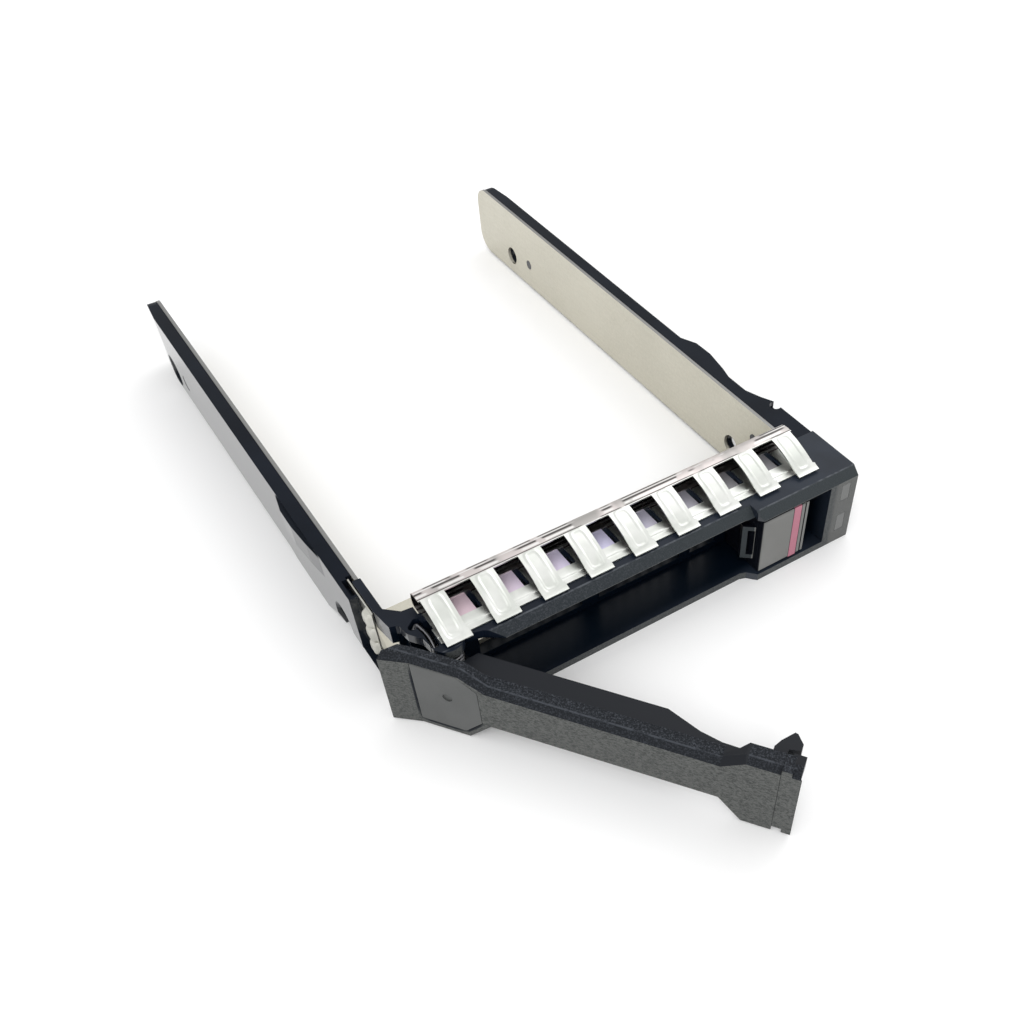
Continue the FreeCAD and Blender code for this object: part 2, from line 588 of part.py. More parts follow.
def lever():
    y0, y1 = -lever_front + 1.5, -lever_front + web_depth
    x1 = taper_r[0]
    flange = [(1.0, y0), (1.0, y0 + 0.9), (2.6, y0 + 2.3), (4.0, y1), (x1 - 9.2, y1), (x1 - 4.1, y1 - 2.0),
              (x1 - 0.9, y1 - 2.7), (cap_x0 - 2.5, y1 - 2.9), (cap_x0 - 2.5, y0)]
    top = prism_z(flange, grip_z1 - 1.3, grip_z1 - 0.3)
    low = prism_z(flange, grip_z0, grip_z0 + 1.0)
    ribs = []
    for i in range(4):
        x = 9.0 + i * (x1 - 18.4) / 3
        ribs.append(box(x - 0.5, x + 0.5, y0, y1 - 0.4, grip_z0 + 0.5, grip_z1 - 0.8))
    spine = box(4.0, x1 - 4.9, y1 - 2.6, y1 - 1.6, grip_z0 + 0.5, grip_z1 - 0.8)
    knuckle = rod(knuckle_r, (0, 0, knuckle_z0), (0, 0, 1), knuckle_z1 - knuckle_z0)
    neck = box(-1.9, 1.9, -lever_front + 1.0, 0, knuckle_z0, knuckle_z1)
    gusset = prism_z([(0, -3.2), (6.0, -3.2), (6.0, 0.9), (4.0, 0.9), (1.0, 2.0), (0, 2.25)], grip_z0, knuckle_z1)
    body = fuse([lever_shell(), lever_flare(), top, low, spine, knuckle, neck, gusset] + ribs)
    body = body.cut(rod(pin_r + seat_gap, (0, 0, 0), (0, 0, 1), height))
    body = body.cut(insert_shape(0.08))
    return body.removeSplitter()


mark_r = 0.75             # round mark sunk into the insert


def lever_insert():
    body = insert_shape(0.0)
    middle = (lever_z0 + lever_z1) / 2
    mark = rod(mark_r, (taper_l[0] - 2.5, -lever_front + 0.25, middle + 0.7), (0, -1, 0), lever_front)
    return body.cut(mark)


hook_z0, hook_z1 = 4.6, 11.2


def lever_end_cap():
    """End piece with the hook behind it."""
    g = seat_gap
    back = -lever_front + end_depth
    end_plan = [(cap_x0 + g, -lever_front), (lever_right - 0.1, -lever_front), (lever_right - 1.45, back),
                (cap_x0 + g, back)]
    plate = prism_z(end_plan, lever_z0 + 0.1, lever_z1)
    # the strip beside the seam stays square and ends short below; only the outer part is bevelled
    strip_x = cap_x0 + cap_w / 2
    y, z = -lever_front, lever_z1
    bevel = prism_x([(y - 1, z - lever_bevel - 1), (y + lever_bevel + 1, z + 1), (y - 1, z + 1)],
                    strip_x, lever_right + 1)
    plate = plate.cut(bevel).cut(box(cap_x0 - 1, strip_x, y - 1, 0, -1, 1.1))
    # hook: its barb points to the button and its stem is carried by a bridge from the plate
    x = hook_x1
    hook = prism_z([(x - 3.5, back + 0.7), (x - 3.5, 0.5), (x - 2.9, 1.7), (x - 1.5, 3.5), (x - 1.1, 3.4), (x, 2.0),
                    (x, 0.9), (x - 1.6, 0.6), (x - 1.6, back + 0.95), (x - 0.7, back + 0.95), (x - 0.7, back + 0.7)],
                   hook_z0, hook_z1)
    bridge = box(cap_x0 + g, hook_x1 - 0.3, back - 0.4, back + 1.1, hook_z0, hook_z1)
    # shoulder above the catch, under the roof
    shoulder = box(cap_x0 + 0.7, lever_right - 0.4, back - 0.4, -0.6, catch_z1 + fit_gap, roof_z0 - fit_gap)
    shoulder = shoulder.cut(box(hook_x1, lever_right, -lever_front, back + 0.01, 0, height))
    return fuse([plate, hook, bridge, shoulder, crown(cap_x0 + g, lever_right - 1.5)])


save("lever", swing(lever()))
save("lever_insert", swing(lever_insert()))
save("lever_end_cap", swing(lever_end_cap()))
save("lever_pivot_pin", rod(pin_r, (pivot_x, pivot_y, 0.6), (0, 0, 1), height - 0.7))


# ---- springs ----
roof_leg_z = height - 0.8      # the leg lies just under the roof's upper face


coil_steps = 14           # straight steps in one turn of a coil


def wire(points, r):
    """Six-sided wire along the points, mitred at its corners."""
    path = [V(*p) for p in points]
    along = (path[1] - path[0]).normalize()
    side = along.cross(V(0, 0, 1)).normalize()
    up = side.cross(along)
    ring = []
    for k in range(6):
        a = 2 * math.pi * (k + 0.5) / 6
        ring.append(path[0] + side * (r * math.cos(a)) + up * (r * math.sin(a)))
    section = Part.makePolygon(ring + [ring[0]])
    return Part.makePolygon(path).makePipeShell([section], True, True, 1)


def coil_path(radius, pitch, turns, hand=1):
    """Points of a helix around Z from the origin, in short straight steps; hand is 1 or -1."""
    points = []
    for i in range(int(round(turns * coil_steps)) + 1):
        a = 2 * math.pi * i / coil_steps
        points.append((radius * math.cos(a), hand * radius * math.sin(a), pitch * i / coil_steps))
    return points


def lever_spring():
    r, pitch, turns = 0.3, 0.7, 3.5
    z0 = knuckle_z1 + r + 0.15
    points = [(pivot_x + x, pivot_y + y, z0 + z) for x, y, z in coil_path(coil_r, pitch, turns, -1)]
    points += [(x, y, roof_leg_z) for x, y in spring_leg]
    return wire(points, r)


# ---- release button with its catch, and the stripe set into its face ----
spring_seat_x = button_x1 - 2.3
spring_y, spring_z = 6.2, 6.9
button_face = 0.2
catch_t = 0.9
stripe_x0, stripe_x1 = button_x1 - 3.1, button_x1 - 1.65


def stripe_shape(grow):
    g = grow
    return box(stripe_x0 - g, stripe_x1 + g, button_face - (1 if g else 0), button_face + 0.7 + g,
               button_z0 - (1 if g else 0), button_z1 + (1 if g else 0))


def catch_loop():
    """Slanted loop on the button's left side, a frame around a window."""
    x1, y0 = button_x0 + 0.5, lever_front - 1.7
    reach = x1 - catch_x0
    plan = [(catch_x0, y0), (x1, y0 - 0.85 * reach), (x1, y0 - 0.85 * reach + 1.2 * catch_t),
            (catch_x0 + 0.3, y0 + catch_t)]
    loop = prism_z(plan, catch_z0, catch_z1)
    return loop.cut(box(catch_x0 + 0.65, button_x0 - 0.05, 0, y0 + 2, catch_z0 + 0.8, catch_z1 - 0.8))


def release_button():
    block = box(button_x0, button_x1, button_face, wall_y0 - 2 * fit_gap, button_z0, button_z1)
    front = edges_at(block, lambda e: abs(e.CenterOfMass.y - button_face) < 0.01)
    block = block.makeFillet(0.35, front)
    body = block.fuse(catch_loop())
    body = body.cut(rod(2.0, (spring_seat_x, spring_y, spring_z), (1, 0, 0), 5))
    body = body.cut(stripe_shape(0.04))
    # thumb groove beside the stripe
    body = body.cut(box(button_x1 - 0.95, button_x1 - 0.7, button_face - 1, button_face + 0.25, 0, height))
    return body.removeSplitter()


def button_spring():
    r, turns = 0.22, 7
    length = column_x0 - spring_seat_x - 2 * r - 0.1
    body = wire(coil_path(1.5, length / turns, turns), r)
    body.rotate(V(0, 0, 0), V(0, 1, 0), 90)
    body.translate(V(spring_seat_x + r + 0.05, spring_y, spring_z))
    return body


save("lever_spring", lever_spring())
save("release_button", release_button())
save("button_stripe", stripe_shape(0.0))
save("button_spring", button_spring())
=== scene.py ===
import json
import math

import bpy
import numpy as np
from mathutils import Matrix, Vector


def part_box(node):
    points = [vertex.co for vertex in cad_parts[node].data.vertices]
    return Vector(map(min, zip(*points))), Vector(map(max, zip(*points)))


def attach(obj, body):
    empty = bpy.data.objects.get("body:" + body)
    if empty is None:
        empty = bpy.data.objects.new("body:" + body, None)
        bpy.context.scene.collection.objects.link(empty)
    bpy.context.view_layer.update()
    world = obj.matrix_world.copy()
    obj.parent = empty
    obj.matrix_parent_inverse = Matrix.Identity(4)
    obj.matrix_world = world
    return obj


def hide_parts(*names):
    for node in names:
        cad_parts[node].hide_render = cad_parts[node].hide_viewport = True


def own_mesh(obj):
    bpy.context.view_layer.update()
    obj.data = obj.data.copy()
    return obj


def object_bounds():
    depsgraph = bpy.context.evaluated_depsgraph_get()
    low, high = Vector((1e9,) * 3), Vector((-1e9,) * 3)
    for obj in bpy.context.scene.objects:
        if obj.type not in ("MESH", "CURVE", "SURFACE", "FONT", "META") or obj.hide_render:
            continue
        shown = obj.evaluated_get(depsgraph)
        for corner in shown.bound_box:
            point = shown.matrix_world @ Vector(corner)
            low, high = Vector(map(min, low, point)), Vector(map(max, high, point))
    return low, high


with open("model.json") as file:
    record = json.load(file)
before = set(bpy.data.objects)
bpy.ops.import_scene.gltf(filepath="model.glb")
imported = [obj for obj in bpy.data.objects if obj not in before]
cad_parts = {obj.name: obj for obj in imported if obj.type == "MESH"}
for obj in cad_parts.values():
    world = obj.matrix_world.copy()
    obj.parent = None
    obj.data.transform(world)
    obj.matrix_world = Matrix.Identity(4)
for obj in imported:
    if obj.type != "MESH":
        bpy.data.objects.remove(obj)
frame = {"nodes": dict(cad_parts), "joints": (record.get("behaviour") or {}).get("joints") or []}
cadLow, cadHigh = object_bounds()
mm = 0.001
nodes = frame["nodes"]
joints = {j["name"]: j for j in frame["joints"]}
bezelLow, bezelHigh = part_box("bezel_frame")
stripLow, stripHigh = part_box("top_shield_strip")
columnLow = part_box("light_pipe_upper")[0]
leverPivot = tuple(joints["lever_hinge"]["pos_m"])
leverSwing = math.radians(joints["lever_hinge"]["range_deg"][1])
print("stage: frame loaded")

view = {
    "place": (-0.061584, -0.091493, 0.122060),      # metres
    "turn": (39.1728, -0.0645, -34.2778),           # degrees about X, Y and Z
    "lens": 36.78, "sensor": 36.0,                  # millimetres
    "shift": (-0.12089, 0.15392),
    "near": 0.005, "far": 20.0,                     # metres
}
cameraData = bpy.data.cameras.new("camera")
cameraData.lens = view["lens"]
cameraData.sensor_width = view["sensor"]
cameraData.shift_x, cameraData.shift_y = view["shift"]
cameraData.clip_start, cameraData.clip_end = view["near"], view["far"]
camera = bpy.data.objects.new("camera", cameraData)
camera.location = view["place"]
camera.rotation_euler = [math.radians(a) for a in view["turn"]]
bpy.context.collection.objects.link(camera)
bpy.context.scene.camera = camera
bpy.context.scene.view_settings.view_transform = "Standard"


def plug(tree, target, value):
    # a socket is linked, a colour or number is set as the input's own value
    if isinstance(value, bpy.types.NodeSocket):
        tree.links.new(value, target)
    elif isinstance(value, tuple) and len(target.default_value) == 4:
        target.default_value = (*value, 1.0)
    else:
        target.default_value = value


def newMaterial(name, values):
    # the shader's plain numbers are set on its own sockets
    material = bpy.data.materials.new(name)
    material.use_nodes = True
    tree = material.node_tree
    shader = tree.nodes["Principled BSDF"]
    plug(tree, shader.inputs["Base Color"], values["color"])
    shader.inputs["Roughness"].default_value = values["rough"]
    shader.inputs["Metallic"].default_value = values.get("metal", 0.0)
    shader.inputs["Specular IOR Level"].default_value = values.get("specular", 0.5)
    shader.inputs["Coat Roughness"].default_value = values.get("coatRough", 0.1)
    return material, tree, shader


def calc(tree, kind, a, b=0.0):
    # one Math node: kind is ADD, SUBTRACT, MULTIPLY, MAXIMUM or ABSOLUTE
    made = tree.nodes.new("ShaderNodeMath")
    made.operation = kind
    plug(tree, made.inputs[0], a)
    plug(tree, made.inputs[1], b)
    return made.outputs[0]


def allOf(tree, *masks):
    # the product of the masks
    result = masks[0]
    for mask in masks[1:]:
        result = calc(tree, "MULTIPLY", result, mask)
    return result


def axes(tree, kind, turn=None):
    # the object's own Object or Normal coordinate and its X, Y and Z; turn is a centre
    # and an angle about Z, so that a pattern can be laid out as for the closed lever
    vector = tree.nodes.new("ShaderNodeTexCoord").outputs[kind]
    if turn:
        spin = tree.nodes.new("ShaderNodeVectorRotate")
        spin.rotation_type = "Z_AXIS"
        tree.links.new(vector, spin.inputs["Vector"])
        spin.inputs["Center"].default_value = turn[0] if kind == "Object" else (0, 0, 0)
        spin.inputs["Angle"].default_value = turn[1]
        vector = spin.outputs[0]
    split = tree.nodes.new("ShaderNodeSeparateXYZ")
    tree.links.new(vector, split.inputs[0])
    return vector, split.outputs["X"], split.outputs["Y"], split.outputs["Z"]


def ramp(tree, value, low, high, outLow=0.0, outHigh=1.0):
    # smooth step of value from low to high, giving outLow to outHigh
    made = tree.nodes.new("ShaderNodeMapRange")
    made.interpolation_type = "SMOOTHSTEP"
    tree.links.new(value, made.inputs["Value"])
    settings = (("From Min", low), ("From Max", high), ("To Min", outLow), ("To Max", outHigh))
    for key, number in settings:
        made.inputs[key].default_value = number
    return made.outputs["Result"]


def fall(tree, value, low, high):
    # 1 below low, 0 above high
    return ramp(tree, value, low, high, 1.0, 0.0)


def line(tree, value, place, half):
    # 1 on a thin line where value is near place, 0 elsewhere
    away = calc(tree, "ABSOLUTE", calc(tree, "SUBTRACT", value, place))
    return fall(tree, away, half * 0.5, half)


def segment(tree, a, b, start, end, half):
    # 1 within half of the straight run from start to end in the plane of a and b
    (a0, b0), (a1, b1) = start, end
    long = math.hypot(a1 - a0, b1 - b0)
    ua, ub = (a1 - a0) / long, (b1 - b0) / long
    da, db = calc(tree, "SUBTRACT", a, a0), calc(tree, "SUBTRACT", b, b0)
    run = calc(tree, "ADD", calc(tree, "MULTIPLY", da, ua), calc(tree, "MULTIPLY", db, ub))
    off = calc(tree, "SUBTRACT", calc(tree, "MULTIPLY", da, ub), calc(tree, "MULTIPLY", db, ua))
    along = line(tree, run, long / 2, long / 2 + half)
    return allOf(tree, line(tree, off, 0.0, half), along)


def noise(tree, point, scale, detail=2.0, roughness=0.5, distortion=0.0, stretch=None):
    made = tree.nodes.new("ShaderNodeTexNoise")
    if stretch:
        mapping = tree.nodes.new("ShaderNodeMapping")
        tree.links.new(point, mapping.inputs["Vector"])
        mapping.inputs["Scale"].default_value = stretch
        point = mapping.outputs["Vector"]
    tree.links.new(point, made.inputs["Vector"])
    made.inputs["Scale"].default_value = scale
    made.inputs["Detail"].default_value = detail
    made.inputs["Roughness"].default_value = roughness
    made.inputs["Distortion"].default_value = distortion
    return made.outputs["Fac"]


def blendNoise(tree, first, second, share):
    # first and second added up, with share of the second
    return calc(tree, "ADD", calc(tree, "MULTIPLY", first, 1.0 - share),
                calc(tree, "MULTIPLY", second, share))


def bump(tree, shader, height, distance, strength=1.0):
    made = tree.nodes.new("ShaderNodeBump")
    made.inputs["Distance"].default_value = distance
    plug(tree, made.inputs["Strength"], strength)
    tree.links.new(height, made.inputs["Height"])
    tree.links.new(made.outputs["Normal"], shader.inputs["Normal"])


def mixColor(tree, factor, first, second, kind="MIX"):
    made = tree.nodes.new("ShaderNodeMix")
    made.data_type, made.blend_type = "RGBA", kind
    plug(tree, made.inputs[0], factor)
    plug(tree, made.inputs[6], first)
    plug(tree, made.inputs[7], second)
    return made.outputs[2]


# which way a face leans: the part of its normal along one axis, where a mask starts and ends
lean = {
    "front": (-0.93, -0.80), "forward": (-0.5, -0.3), "up": (0.3, 0.5), "left": (-0.75, -0.5),
    "flat": (0.25, 0.55), "top": (0.6, 0.9), "down": (-0.35, -0.15), "inward": (-0.30, -0.12),
    "offFront": (-0.75, -0.45),
}

# black moulded plastic with a leather grain on its outer faces and a smooth glossy inside;
# a pattern is a noise's scale, detail, roughness and distortion
grainLook = {
    "rough": 0.34, "matt": 0.55, "specular": 0.16, "coatRough": 0.10,
    "grain": (2900.0, 3.0, 0.62, 0.5), "fine": (6090.0, 2.0, 0.5, 0.2), "fineShare": 0.25,
    "hollows": (0.36, 0.60), "depth": 0.00020, "specks": (0.46, 0.66),
    # the deep tone is painted shade in the bezel's recess, and the real colour of the open joint
    # by the insert
    # the wear noise breaks up the painted edge highlights
    "wear": (900.0, 2.0), "wearSpots": (0.35, 0.6), "deep": (0.0012, 0.0038, 0.0085),
}
bezelLook = dict(
    grainLook, color=(0.0042, 0.0072, 0.0140), colorRight=(0.0150, 0.0205, 0.0310),
    rightFrom=-0.6, rightTo=0.6, rightShare=0.85,   # shares of the bezel's right half
    cloud=(140.0, 2.0), cloudSpots=(0.3, 0.7), cloudLight=(0.80, 1.25),
    # the front face's two grain tones are painted light: lighter than the tops, as lit from the
    # front
    face=(0.078, 0.083, 0.084), faceDark=(0.050, 0.054, 0.056), stretch=(1.0, 1.0, 1.5),
    faceDepth=3.2 * mm, faceSoft=0.3 * mm, smoothBump=0.05,
    bevel=(0.020, 0.025, 0.030), bevelRight=(0.034, 0.041, 0.045),
    fleck=(0.048, 0.053, 0.062), speck=(4200.0, 3.0, 0.72, 0.2),
    # the column's front tone is painted light: lighter than the tops, as lit from the front
    column=(0.112, 0.115, 0.113), columnBand=(1.6 * mm, 0.6 * mm),
    insideUnder=(1.6 * mm, 0.9 * mm), insideBehind=(1.0 * mm, 3.4 * mm),
    # the painted highlight along the edge above the slope: how far back it runs in the middle and
    # on the button block
    worn=(0.085, 0.093, 0.106), wornShare=(0.2, 0.9), edgeMiddle=3.15 * mm, edgeBlock=1.35 * mm,
    edgeHalf=0.15 * mm, edgeUnder=(0.45 * mm, 0.3 * mm), edgeSoft=0.3 * mm,
    blockFrom=21.3 * mm, middleTo=18.3 * mm)
leverLook = dict(
    grainLook, color=(0.0095, 0.0110, 0.0145), turn=(leverPivot, leverSwing),
    # the front face's two grain tones are painted light: lighter than the tops, as lit from the
    # front
    face=(0.106, 0.110, 0.106), faceDark=(0.044, 0.047, 0.046), stretch=(0.8, 1.0, 1.5),
    faceFrom=5.0 * mm, faceBand=(0.2 * mm, 0.5 * mm), smoothBump=0.04,
    bevel=(0.0060, 0.0078, 0.0110), bevelShare=0.45,
    # the fleck tone also colours the painted highlight on the ridge
    fleck=(0.050, 0.056, 0.067), speck=(4600.0, 3.0, 0.72, 0.2),
    bandDepth=2.9 * mm, bandSoft=0.15 * mm, ridge=0.95 * mm, ridgeHalf=0.16 * mm,
    wornShare=(0.25, 0.9),
    # from the pivot: the smooth ramp near the right end
    rampStart=40.6 * mm, rampEnd=44.2 * mm, rampSoft=0.3 * mm,
    # from the pivot, in mm: the open joint left of and below the insert
    groove=[(-3.3, 12.9), (-3.3, 1.15), (3.7, 1.15), (6.5, 4.15)], grooveWide=0.50 * mm)


def litGrainTone(tree, point, v):
    # leather grain of the front faces: wrinkled noise, dark in its hollows; both of its tones are
    # painted lighter than the tops, as lit from the front
    grain = noise(tree, point, *v["grain"], stretch=v["stretch"])
    height = blendNoise(tree, grain, noise(tree, point, *v["fine"]), v["fineShare"])
    return height, mixColor(tree, ramp(tree, height, *v["hollows"]), v["faceDark"], v["face"])


def speckTone(tree, point, v):
    # coarse grain seen along its surface: pale specks on near black
    speck = noise(tree, point, *v["speck"])
    return mixColor(tree, ramp(tree, speck, *v["specks"]), v["bevel"], v["fleck"])


def grainSurface(tree, shader, v, grained, height):
    # grained faces are matt and rough, the others smooth
    tree.links.new(ramp(tree, grained, 0.0, 1.0, v["rough"], v["matt"]),
                   shader.inputs["Roughness"])
    bump(tree, shader, height, v["depth"], ramp(tree, grained, 0.0, 1.0, v["smoothBump"], 1.0))


def bezelPlastic(v):
    material, tree, shader = newMaterial("bezelPlastic", v)
    point, x, y, z = axes(tree, "Object")
    _, nx, ny, nz = axes(tree, "Normal")
    top, faceEdge = bezelHigh.z, bezelLow.y + v["faceDepth"]
    outer = fall(tree, y, faceEdge - v["faceSoft"], faceEdge + v["faceSoft"])
    front = allOf(tree, fall(tree, ny, *lean["front"]), outer)
    slope = allOf(tree, fall(tree, ny, *lean["forward"]), ramp(tree, nz, *lean["up"]), outer)
    plain = ramp(tree, x, v["rightFrom"] * bezelHigh.x, v["rightTo"] * bezelHigh.x,
                 0.0, v["rightShare"])
    # the front face, painted lighter than the top as lit from the front, and paler still on the
    # column at the right end
    height, litFaceTone = litGrainTone(tree, point, v)
    onColumn = ramp(tree, x, columnLow.x - v["columnBand"][0], columnLow.x - v["columnBand"][1])
    litFaceTone = mixColor(tree, allOf(tree, onColumn, front), litFaceTone, v["column"])
    # tone changes of the smooth faces, and painted shade darkens the recess behind the front
    cloud = ramp(tree, noise(tree, point, *v["cloud"]), *v["cloudSpots"], *v["cloudLight"])
    smooth = mixColor(tree, plain, v["color"], v["colorRight"])
    smooth = mixColor(tree, 1.0, smooth, cloud, "MULTIPLY")
    inside = allOf(
        tree, fall(tree, z, top - v["insideUnder"][0], top - v["insideUnder"][1]),
        ramp(tree, y, bezelLow.y + v["insideBehind"][0], bezelLow.y + v["insideBehind"][1]))
    tone = mixColor(tree, inside, smooth, v["deep"])
    speckled = mixColor(tree, plain, speckTone(tree, point, v), v["bevelRight"])
    tone = mixColor(tree, slope, tone, speckled)
    # a painted highlight, broken up by noise, along the edge between the slope and the top
    middle = allOf(tree, fall(tree, x, v["middleTo"], v["middleTo"] + v["edgeSoft"]),
                   line(tree, y, bezelLow.y + v["edgeMiddle"], v["edgeHalf"]))
    block = allOf(tree, ramp(tree, x, v["blockFrom"] - v["edgeSoft"], v["blockFrom"]),
                  line(tree, y, bezelLow.y + v["edgeBlock"], v["edgeHalf"]))
    worn = allOf(
        tree, calc(tree, "MAXIMUM", middle, block), ramp(tree, nz, *lean["up"]),
        ramp(tree, z, top - v["edgeUnder"][0], top - v["edgeUnder"][1]),
        ramp(tree, noise(tree, point, *v["wear"]), *v["wearSpots"], *v["wornShare"]))
    tone = mixColor(tree, worn, tone, v["worn"])
    tree.links.new(mixColor(tree, front, tone, litFaceTone), shader.inputs["Base Color"])
    grainSurface(tree, shader, v, calc(tree, "MAXIMUM", front, slope), height)
    # the sides keep the mould's polish
    tree.links.new(fall(tree, nx, *lean["left"]), shader.inputs["Coat Weight"])
    return material


def leverPlastic(v):
    material, tree, shader = newMaterial("leverPlastic", v)
    point, x, y, z = axes(tree, "Object", v["turn"])
    _, _, ny, nz = axes(tree, "Normal", v["turn"])
    faceY = leverPivot[1] - v["faceFrom"]
    front = allOf(tree, fall(tree, ny, *lean["front"]),
                  fall(tree, y, faceY + v["faceBand"][0], faceY + v["faceBand"][1]))
    bandEdge = faceY + v["bandDepth"]
    band = fall(tree, y, bandEdge - v["bandSoft"], bandEdge + v["bandSoft"])
    height, litFaceTone = litGrainTone(tree, point, v)
    # the grain stops at the ramp near the right end
    localX = calc(tree, "SUBTRACT", x, leverPivot[0])
    ramped = allOf(tree, ramp(tree, localX, v["rampStart"], v["rampStart"] + v["rampSoft"]),
                   fall(tree, localX, v["rampEnd"] - v["rampSoft"], v["rampEnd"]))
    band = allOf(tree, band, calc(tree, "SUBTRACT", 1.0, ramped))
    chamfer = allOf(tree, fall(tree, ny, *lean["forward"]), ramp(tree, nz, *lean["up"]))
    speckled = mixColor(tree, calc(tree, "MULTIPLY", chamfer, v["bevelShare"]),
                        speckTone(tree, point, v), v["bevel"])
    tone = mixColor(tree, band, v["color"], speckled)
    # a painted highlight, broken up by noise, along the ridge between the chamfer and the top
    ridge = allOf(tree, line(tree, y, faceY + v["ridge"], v["ridgeHalf"]), band)
    worn = ramp(tree, noise(tree, point, *v["wear"]), *v["wearSpots"], *v["wornShare"])
    tone = mixColor(tree, allOf(tree, ridge, worn), tone, v["fleck"])
    # the front face takes the grain tone that is painted lighter, as lit from the front
    tone = mixColor(tree, front, tone, litFaceTone)
    ends = [(px * mm, pz * mm) for px, pz in v["groove"]]
    for start, end in zip(ends[:-1], ends[1:]):
        groove = segment(tree, localX, z, start, end, v["grooveWide"])
        tone = mixColor(tree, allOf(tree, groove, front), tone, v["deep"])
    tree.links.new(tone, shader.inputs["Base Color"])
    grainSurface(tree, shader, v, calc(tree, "MAXIMUM", front, band), height)
    return material


# glossy black rails: a hard shine on their upright sides, a satin top
railLook = {
    "color": (0.0042, 0.0060, 0.0098), "lighter": 1.6, "rough": 0.40, "specular": 0.06,
    "coatRough": 0.07, "cloud": (90.0, 3.0), "cloudSpots": (0.3, 0.7),
    "grain": (1500.0, 2.0), "depth": 0.00003, "grainBump": 0.3,
}


def railPlastic(v):
    material, tree, shader = newMaterial("railPlastic", v)
    point = axes(tree, "Object")[0]
    nz = axes(tree, "Normal")[3]
    tree.links.new(fall(tree, nz, *lean["flat"]), shader.inputs["Coat Weight"])
    cloud = ramp(tree, noise(tree, point, *v["cloud"]), *v["cloudSpots"])
    pale = tuple(c * v["lighter"] for c in v["color"])
    tree.links.new(mixColor(tree, cloud, v["color"], pale), shader.inputs["Base Color"])
    bump(tree, shader, noise(tree, point, *v["grain"]), v["depth"], v["grainBump"])
    return material


# rolled sheet: fine streaks along the rolling direction, faint clouding, dark sheared edges
linerLook = {
    "color": (0.610, 0.588, 0.508), "shade": (0.545, 0.525, 0.450), "rough": 0.42, "metal": 1.0,
    "streak": (4200.0, 3.0, 0.6, 0.0), "stretch": (1.0, 0.06, 1.0), "streakSpots": (0.3, 0.7),
    "roughRun": (0.37, 0.49), "depth": 0.00002, "streakBump": 0.4,
    "cloud": (45.0, 3.0), "grit": (1900.0, 3.0, 0.7), "gritShare": 0.5, "cloudSpots": (0.35, 0.65),
    "sheared": (0.25, 0.25, 0.245), "shearedUnder": (1.0 * mm, 0.7 * mm),
}


def streakSurface(tree, shader, v, streak):
    # roughness and a slight bump along the streaks
    tree.links.new(ramp(tree, streak, *v["streakSpots"], *v["roughRun"]),
                   shader.inputs["Roughness"])
    bump(tree, shader, streak, v["depth"], v["streakBump"])


def linerSteel(v):
    material, tree, shader = newMaterial("linerSteel", v)
    point, _, _, z = axes(tree, "Object")
    nz = axes(tree, "Normal")[3]
    streak = noise(tree, point, *v["streak"], stretch=v["stretch"])
    cloud = blendNoise(tree, noise(tree, point, *v["cloud"]), noise(tree, point, *v["grit"]),
                       v["gritShare"])
    tone = mixColor(tree, ramp(tree, cloud, *v["cloudSpots"]), v["shade"], v["color"])
    nearTop = ramp(tree, z, bezelHigh.z - v["shearedUnder"][0], bezelHigh.z - v["shearedUnder"][1])
    edge = allOf(tree, ramp(tree, nz, *lean["top"]), nearTop)
    tree.links.new(mixColor(tree, edge, tone, v["sheared"]), shader.inputs["Base Color"])
    streakSurface(tree, shader, v, streak)
    return material


# bright spring steel with a milky film; on the top strip, painted reflections darken the rear bend
# and painted shade darkens its underside and inner face
springLook = {
    "color": (0.755, 0.765, 0.735), "shade": (0.660, 0.680, 0.640), "rough": 0.33, "metal": 1.0,
    "streak": (3600.0, 3.0, 0.6, 0.0), "stretch": (0.25, 1.0, 1.0), "streakSpots": (0.3, 0.7),
    "roughRun": (0.29, 0.39), "depth": 0.00002, "streakBump": 0.03,
    "cloud": (150.0, 2.5, 0.6, 0.8), "cloudSpots": (0.38, 0.62),
}
stripLook = dict(
    # the bend, blush, pale and dark tones are painted reflections on the rear bend
    springLook, bend=(0.40, 0.385, 0.370), blush=(0.62, 0.570, 0.555), pale=(0.78, 0.77, 0.75),
    # the under and hollow tones are painted shade, under the strip and inside its rear bend
    dark=(0.095, 0.088, 0.085), under=(0.20, 0.19, 0.185), hollow=(0.020, 0.020, 0.023),
    bendFrom=2.70 * mm, bendSoft=0.25 * mm,
    underOver=(0.6 * mm, 0.8 * mm), hollowBack=(1.3 * mm, 1.0 * mm),
    patch=(170.0, 2.0, 0.6, 0.3), patchStretch=(1.0, 0.2, 0.2), patchSpots=(0.40, 0.56),
    breakStretch=(1.0, 0.1, 0.1), breakSoft=0.08,
    # long reflections along the bend, in mm: forward of its rear and half width,
    # then the scale of their breaks, how broken they are, and their tone
    lines=((2.45, 0.12, 246.0, 0.34, "dark"), (2.00, 0.26, 288.0, 0.46, "pale"),
           (1.45, 0.24, 282.0, 0.44, "dark"), (1.10, 0.16, 258.0, 0.42, "pale"),
           (0.75, 0.20, 270.0, 0.46, "dark"), (0.45, 0.14, 252.0, 0.42, "pale")))


def bendReflectionTone(tree, point, y, v):
    # painted reflections over the bend: broken patches of two tones, then long lines that follow
    # the bend and break off along it
    patch = noise(tree, point, *v["patch"], stretch=v["patchStretch"])
    bent = mixColor(tree, ramp(tree, patch, *v["patchSpots"]), v["bend"], v["blush"])
    for back, half, scale, low, color in v["lines"]:
        breaks = noise(tree, point, scale, 1.0, stretch=v["breakStretch"])
        broken = allOf(tree, line(tree, y, stripHigh.y - back * mm, half * mm),
                       ramp(tree, breaks, low, low + v["breakSoft"]))
        bent = mixColor(tree, broken, bent, v[color])
    return bent


